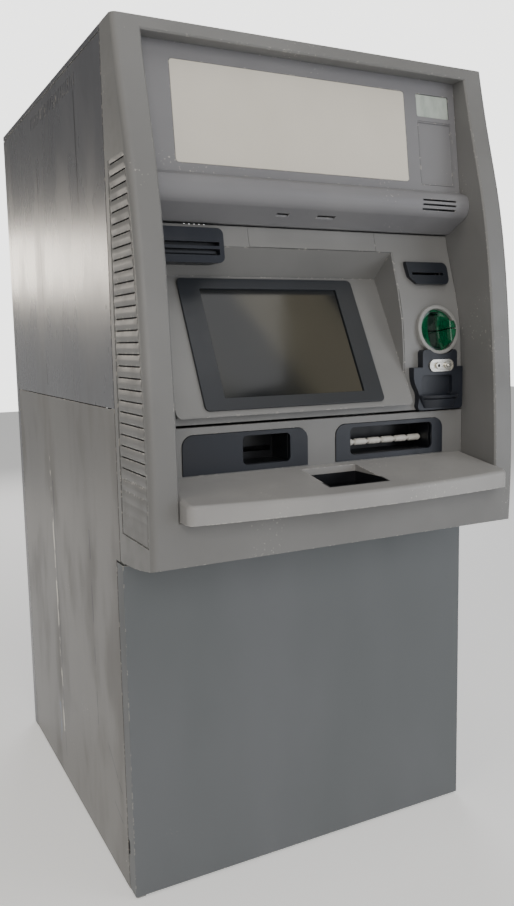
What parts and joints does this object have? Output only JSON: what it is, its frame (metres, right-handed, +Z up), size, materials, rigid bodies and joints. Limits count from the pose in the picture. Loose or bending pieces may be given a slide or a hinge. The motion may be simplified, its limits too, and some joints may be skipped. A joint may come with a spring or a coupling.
{
  "type": "automated teller machine",
  "caption": "Floor-standing self-service cash terminal: grey cabinet over a steel safe, moulded fascia with hooded sign panel, tilted screen, card reader, note slots and sloping shelf.",
  "frame": {"origin": "on the floor, at the middle of the outer box", "axes": "+Z up, -Y towards the customer, +X to the customer's right"},
  "size_m": [0.8, 1.117, 1.628],
  "materials": {
    "safe_steel": "satin powder coat on plate steel",
    "side_paint": "satin grey powder coat, scuffed",
    "door_paint": "satin blue-grey powder coat",
    "frame_steel": "zinc plated sheet",
    "fascia_grey": "fine textured moulding, painted grey",
    "inner_grey": "fine textured moulding, light grey",
    "shelf_grey": "fine textured moulding, pale grey",
    "charcoal": "satin charcoal moulding",
    "navy_black": "satin blue-black moulding",
    "sign_cream": "satin opal acrylic",
    "window_glass": "clear cover glass",
    "screen_glass": "dark anti-glare display glass",
    "ring_silver": "satin silver-grey moulding",
    "reader_green": "translucent green polycarbonate",
    "jack_silver": "satin anodised",
    "roller_white": "off-white acetal",
    "bolt_steel": "polished plated steel",
    "module_grey": "dark grey sheet metal",
    "cassette_plastic": "black structural moulding",
    "paper_white": "plain thermal paper",
    "dial_black": "black moulded dial"
  },
  "bodies": {
    "cabinet": {"blank_panel": "fascia_grey", "camera_window": "window_glass", "card_reader": "charcoal", "cassettes": "cassette_plastic", "centre_cover": "inner_grey", "controller": "module_grey", "deposit_bin": "cassette_plastic", "deposit_transport": "charcoal", "dispenser_rack": "frame_steel", "display_module": "module_grey", "fan_housing": "charcoal", "fascia_frame": "fascia_grey", "front_door_catch": "frame_steel", "front_door_pivots": "frame_steel", "head_frame": "frame_steel", "hood_panel": "fascia_grey", "jack_plate": "jack_silver", "keypad_well": "charcoal", "left_pocket_plate": "navy_black", "left_slot_bezel": "navy_black", "lower_inner_panel": "inner_grey", "lower_side_panel_left": "side_paint", "lower_side_panel_right": "side_paint", "note_transport": "charcoal", "power_supply": "frame_steel", "reader_base": "charcoal", "reader_insert": "reader_green", "reader_ring": "ring_silver", "rear_frame": "side_paint", "rear_hinges": "frame_steel", "receipt_printer": "module_grey", "right_pocket_plate": "navy_black", "right_slot_bezel": "navy_black", "roof_panel": "side_paint", "safe_body": "safe_steel", "screen_bezel": "charcoal", "screen_glass": "screen_glass", "screen_surround": "inner_grey", "shelf": "shelf_grey", "sign_light": "module_grey", "sign_panel": "sign_cream", "speaker": "charcoal", "statement_printer": "module_grey", "surveillance_camera": "charcoal", "upper_inner_panel": "inner_grey", "upper_side_panel_left": "side_paint", "upper_side_panel_right": "side_paint"},
    "front_door": {"front_door": "door_paint"},
    "rear_door": {"rear_service_door": "side_paint"},
    "rear_lock": {"rear_lock": "bolt_steel"},
    "safe_door": {"safe_door": "safe_steel", "boltwork_frame": "frame_steel"},
    "bolts": {"lock_bolts": "bolt_steel"},
    "handle": {"safe_handle": "bolt_steel"},
    "dial": {"combination_dial": "dial_black"},
    "note_shutter": {"note_shutter": "charcoal"},
    "deposit_shutter": {"deposit_shutter": "charcoal"},
    "rollers": {"presenter_rollers": "roller_white"},
    "paper_roll": {"paper_roll": "paper_white"},
    "fan": {"fan_rotor": "charcoal"}
  },
  "joints": [
    {"name": "front_door_swing", "type": "hinge", "parent": "cabinet", "child": "front_door", "pos_m": [-0.388, -0.3175, 0.35], "axis": [0, 0, -1], "range_deg": [0, 100]},
    {"name": "rear_door_swing", "type": "hinge", "parent": "cabinet", "child": "rear_door", "pos_m": [0.3845, 0.552, 1.15], "axis": [0, 0, -1], "range_deg": [0, 110]},
    {"name": "rear_lock_turn", "type": "hinge", "parent": "rear_door", "child": "rear_lock", "pos_m": [-0.34, 0.5455, 1.15], "axis": [0, 1, 0], "range_deg": [0, 90]},
    {"name": "safe_door_swing", "type": "hinge", "parent": "cabinet", "child": "safe_door", "pos_m": [0.3845, 0.552, 0.35], "axis": [0, 0, -1], "range_deg": [0, 110]},
    {"name": "safe_handle_turn", "type": "hinge", "parent": "safe_door", "child": "handle", "pos_m": [-0.2, 0.5455, 0.42], "axis": [0, 1, 0], "range_deg": [0, 90]},
    {"name": "bolt_throw", "type": "slide", "parent": "safe_door", "child": "bolts", "axis": [-1, 0, 0], "range_m": [0, 0.0301]},
    {"name": "dial_spin", "type": "hinge", "parent": "safe_door", "child": "dial", "pos_m": [-0.06, 0.5455, 0.42], "axis": [0, 1, 0], "continuous": true},
    {"name": "note_shutter_slide", "type": "slide", "parent": "cabinet", "child": "note_shutter", "axis": [0, 0, 1], "range_m": [0, 0.0615]},
    {"name": "deposit_shutter_slide", "type": "slide", "parent": "cabinet", "child": "deposit_shutter", "axis": [0, 0, 1], "range_m": [0, 0.0615]},
    {"name": "roller_spin", "type": "hinge", "parent": "cabinet", "child": "rollers", "pos_m": [0.1645, -0.3515, 0.8695], "axis": [1, 0, 0], "continuous": true},
    {"name": "paper_roll_spin", "type": "hinge", "parent": "cabinet", "child": "paper_roll", "pos_m": [0.27, -0.0695, 1.2], "axis": [1, 0, 0], "continuous": true},
    {"name": "fan_spin", "type": "hinge", "parent": "cabinet", "child": "fan", "pos_m": [0, 0.4835, 1.42], "axis": [0, 1, 0], "continuous": true}
  ],
  "couplings": [
    {"joint": "bolt_throw", "follows": "safe_handle_turn", "m_per_rad": 0.0191}
  ]
}
